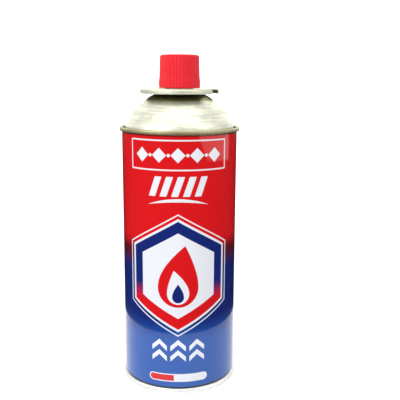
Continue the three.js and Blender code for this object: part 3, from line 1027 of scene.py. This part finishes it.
class MakeCap(bpy.types.Operator):
    """Make the ribbed cap with its gripping fins"""
    bl_idname = "canister.make_cap"
    bl_label = "Cap"

    def execute(self, context):
        sizes = context.scene.cap_sizes
        edge = sizes.edge_round
        waist_z = CAP_BOTTOM_Z + sizes.band_height
        bore = sizes.top_radius - FLUTE_ROOM - sizes.wall
        roof = CAP_TOP_Z - sizes.wall
        ribbed = [
            (CAP_BAND_RADIUS - CAP_LIP, CAP_BOTTOM_Z),
            (CAP_BAND_RADIUS, CAP_BOTTOM_Z + CAP_LIP),
            *bezier([
                (CAP_BAND_RADIUS, waist_z - CAP_FLARE),
                (CAP_BAND_RADIUS, waist_z),
                (sizes.waist_radius, waist_z),
                (sizes.waist_radius, waist_z + CAP_FLARE)], ARC_STEPS),
            *arc(sizes.top_radius - edge, CAP_TOP_Z - edge, edge, 0, 90),
        ]
        plain = [
            (0, CAP_TOP_Z),
            (0, roof),
            *arc(bore - edge, roof - edge, edge, 90, 0),
            (bore, CAP_BOTTOM_Z),
        ]

        def flute(angle, row):
            if row >= len(ribbed) - 1:
                return 0.0
            return -sizes.rib_depth * (1 - abs(math.cos(sizes.rib_count * angle / 2)))

        cap = turned(ribbed + plain, steps=sizes.rib_count * STEPS_PER_RIB, relief=flute)
        finish = moulded_finish("cap polyethylene", shade("cap_red"), CAP_ROUGHNESS, CAP_GLOSS)
        new_piece("ribbed_cap", cap, "cap", "cap_plastic", "cap", finish)
        grip = context.scene.cup_sizes.pedestal_radius + FIN_GAP
        self.add_fins(sizes, bore, grip, finish)
        return {"FINISHED"}

    def add_fins(self, sizes, bore, grip, finish):
        """Fins on the bore's wall that grip the pedestal and rest on it."""
        ledge = PEDESTAL_TOP_Z + LEDGE_GAP
        outer = bore + FIN_ROOT
        section = [
            (grip, CAP_BOTTOM_Z),
            (outer, CAP_BOTTOM_Z),
            (outer, ledge + LEDGE_HEIGHT),
            (FIN_REACH_RADIUS, ledge + LEDGE_HEIGHT),
            (FIN_REACH_RADIUS, ledge),
            (grip, ledge),
        ]
        fins = bmesh.new()
        for index in range(sizes.fin_count):
            turn = Matrix.Rotation(2 * math.pi * index / sizes.fin_count, 3, "Z")
            near, far = [[fins.verts.new(turn @ Vector((radius, side * sizes.fin_thickness, height)))
                          for radius, height in section] for side in (-0.5, 0.5)]
            fins.faces.new(near)
            fins.faces.new(far[::-1])
            for step in range(len(section)):
                after = (step + 1) % len(section)
                fins.faces.new((near[after], near[step], far[step], far[after]))
        new_piece("cap_fins", fins, "cap", "cap_plastic", "cap", finish)


# Camera, in metres, degrees and pixels
CAMERA_PLACE = (0.0, -351.9 * MM, 177.3 * MM)
CAMERA_TURN_DEG = 1.97
CAMERA_TILT_DEG = 11.38
CAMERA_ROLL_DEG = 0.40
CAMERA_FOCAL_PIXELS = 607.1
CAMERA_CLIP_START = 10.0 * MM
PHOTO_WIDTH_PIXELS = 400
SENSOR_WIDTH_MM = 36.0

# Lamps, in metres and watts: name, place, the point that it faces, size and power
LAMPS = (
    ("left softbox", (-1.1, -0.85, 0.75), (0.0, 0.0, 0.1), (1.5, 1.5), 12.0),
    ("right softbox", (1.0, -0.9, 0.7), (0.0, 0.0, 0.1), (1.2, 1.2), 3.5),
    ("top softbox", (0.0, -0.3, 1.3), (0.0, 0.0, 0.12), (1.4, 1.2), 5.0),
)
WORLD_LIGHT = 0.52
WHITE = (1.0, 1.0, 1.0)

# The paper: a floor that sweeps up into a backdrop, in metres
PAPER_TONE = (0.85, 0.85, 0.85)
PAPER_ROUGHNESS = 0.9
PAPER_FRONT_Y = -1.2
PAPER_BACK_Y = 1.6
PAPER_SWEEP = 0.6
PAPER_SWEEP_STEPS = 9
PAPER_TOP_Z = 3.0
PAPER_HALF_WIDTH = 3.0
PAPER_GLOW = (0.46, 1.0)
PAPER_GLOW_REACH = (0.08, 0.45)

# Sheets that only reflections show. An edge of the card is its height, and its start and end in
# degrees to the right of the front
SURROUND_REACH = (0.114, 2.4)
SURROUND_HEIGHT = 0.5 * MM
SURROUND_STEP_DEG = 5
SURROUND_TONE = (0.012, 0.012, 0.014)
CARD_REACH = 0.8
CARD_EDGES = ((78.0 * MM, 36.0, 112.0), (30.0 * MM, 56.0, 112.0))
CARD_STEPS = 12
CARD_GLOW = 0.3


def add_lamp(name, place, target, size, power):
    """A rectangular soft lamp aimed at a point."""
    data = bpy.data.lights.new(name, "AREA")
    data.shape = "RECTANGLE"
    data.size, data.size_y = size
    data.energy = power
    lamp = bpy.data.objects.new(name, data)
    lamp.location = place
    lamp.rotation_euler = (Vector(target) - Vector(place)).to_track_quat("-Z", "Y").to_euler()
    bpy.context.scene.collection.objects.link(lamp)


def add_camera():
    """The camera at the photograph's place, turned, tilted and rolled as it was."""
    turn, tilt, roll = (math.radians(angle) for angle in (
        CAMERA_TURN_DEG, CAMERA_TILT_DEG, CAMERA_ROLL_DEG))
    ahead = Vector((math.sin(turn) * math.cos(tilt), math.cos(turn) * math.cos(tilt), -math.sin(tilt)))
    level = Vector((math.cos(turn), -math.sin(turn), 0.0))
    upright = level.cross(ahead)
    right = level * math.cos(roll) + upright * math.sin(roll)
    up = upright * math.cos(roll) - level * math.sin(roll)
    data = bpy.data.cameras.new("camera")
    data.sensor_width = SENSOR_WIDTH_MM
    data.lens = CAMERA_FOCAL_PIXELS / PHOTO_WIDTH_PIXELS * SENSOR_WIDTH_MM
    data.clip_start = CAMERA_CLIP_START
    camera = bpy.data.objects.new("camera", data)
    axes = Matrix((right, up, -ahead)).transposed()
    camera.matrix_world = Matrix.Translation(CAMERA_PLACE) @ axes.to_4x4()
    bpy.context.scene.collection.objects.link(camera)
    bpy.context.scene.camera = camera


def stage_sheet(name, rows, material):
    """A sheet of the stage between two rows of points."""
    work_mesh = bmesh.new()
    near, far = [[work_mesh.verts.new(point) for point in row] for row in rows]
    for step in range(len(near) - 1):
        work_mesh.faces.new((near[step], far[step], far[step + 1], near[step + 1]))
    sheet = placed(name, work_mesh)
    wear(sheet, material)
    return sheet


def reflected_sheet(name, rows, tone, glow):
    """A sheet that only reflections show."""
    finish = Finish(name, tone, 1.0)
    finish.set("Specular IOR Level", 0.0)
    finish.set("Emission Color", (*tone, 1.0))
    finish.set("Emission Strength", glow)
    sheet = stage_sheet(name, rows, finish.material)
    sheet.visible_camera = False
    sheet.visible_diffuse = False
    sheet.visible_shadow = False


def paper_finish():
    """White paper that stays white to the camera and in reflections, and keeps the shadow."""
    finish = Finish("white paper", PAPER_TONE, PAPER_ROUGHNESS)
    glow = reach(finish.x, finish.y).step(*PAPER_GLOW_REACH).spread(*PAPER_GLOW)
    finish.set("Emission Color", (*WHITE, 1.0))
    finish.set("Emission Strength", finish.shown() * glow)
    finish.set("Specular IOR Level", 0.0)
    return finish.material


class SetStage(bpy.types.Operator):
    """Set the camera, the pale floor and the soft lamps"""
    bl_idname = "canister.set_stage"
    bl_label = "Stage"

    def execute(self, context):
        context.scene.view_settings.view_transform = "Standard"
        add_camera()
        self.add_paper()
        self.light_world(context.scene)
        self.add_dark_surround()
        self.add_white_card()
        for lamp in LAMPS:
            add_lamp(*lamp)
        return {"FINISHED"}

    def add_paper(self):
        """A pale floor that rises behind the canister."""
        section = [
            (PAPER_FRONT_Y, 0.0),
            *arc(PAPER_BACK_Y, PAPER_SWEEP, PAPER_SWEEP, -90, 0, PAPER_SWEEP_STEPS),
            (PAPER_BACK_Y + PAPER_SWEEP, PAPER_TOP_Z),
        ]
        rows = [[(side, y, z) for y, z in section] for side in (-PAPER_HALF_WIDTH, PAPER_HALF_WIDTH)]
        stage_sheet("floor", rows, paper_finish())

    def add_dark_surround(self):
        """The dark studio around the paper's middle."""
        degrees = range(0, 360 + SURROUND_STEP_DEG, SURROUND_STEP_DEG)
        turns = [math.radians(angle) for angle in degrees]
        rows = [[(radius * math.cos(turn), radius * math.sin(turn), SURROUND_HEIGHT) for turn in turns]
                for radius in SURROUND_REACH]
        reflected_sheet("dark_surround", rows, SURROUND_TONE, 0.0)

    def add_white_card(self):
        """A low white card to the right, which the gloss of the upper print picks up."""
        rows = []
        for height, first, last in CARD_EDGES:
            turns = [math.radians(first + (last - first) * step / CARD_STEPS)
                     for step in range(CARD_STEPS + 1)]
            rows.append([(CARD_REACH * math.sin(turn), -CARD_REACH * math.cos(turn), height)
                         for turn in turns])
        reflected_sheet("white_card", rows, WHITE, CARD_GLOW)

    def light_world(self, scene):
        """White surroundings to the camera and in reflections, and a plain light from all sides."""
        world = bpy.data.worlds.new("studio")
        world.use_nodes = True
        scene.world = world
        nodes = Nodes(world.node_tree)
        background = nodes.tree.nodes["Background"]
        nodes.feed((*WHITE, 1.0), background.inputs["Color"])
        nodes.feed(nodes.shown().spread(WORLD_LIGHT, 1.0), background.inputs["Strength"])


class CANISTER_PT_pieces(bpy.types.Panel):
    """Sizes, colours and pieces of the canister"""
    bl_idname = "CANISTER_PT_pieces"
    bl_label = "Canister"
    bl_space_type = "VIEW_3D"
    bl_region_type = "UI"
    bl_category = "Canister"

    def draw(self, context):
        for name in GROUPS:
            group = getattr(context.scene, name)
            box = self.layout.box()
            for setting in group.__annotations__:
                box.prop(group, setting)
        for operator in OPERATORS:
            self.layout.operator(operator.bl_idname)


GROUPS = {
    "can_sizes": CanSizes,
    "cup_sizes": CupSizes,
    "cap_sizes": CapSizes,
    "canister_colours": CanisterColours,
}
OPERATORS = (MakePrintedSleeve, MakeUpperEnd, MakeLowerEnd, MakeMountingCup, MakeValve, MakeCap, SetStage)
CLASSES = (*GROUPS.values(), *OPERATORS, CANISTER_PT_pieces)


def register():
    for item in CLASSES:
        bpy.utils.register_class(item)
    for name, group in GROUPS.items():
        setattr(bpy.types.Scene, name, PointerProperty(type=group))


def unregister():
    for name in GROUPS:
        delattr(bpy.types.Scene, name)
    for item in reversed(CLASSES):
        bpy.utils.unregister_class(item)


def main():
    register()
    bpy.ops.canister.make_printed_sleeve()
    bpy.ops.canister.make_upper_end()
    bpy.ops.canister.make_lower_end()
    bpy.ops.canister.make_mounting_cup()
    bpy.ops.canister.make_valve()
    bpy.ops.canister.make_cap()
    bpy.ops.canister.set_stage()


if __name__ == "__main__":
    main()
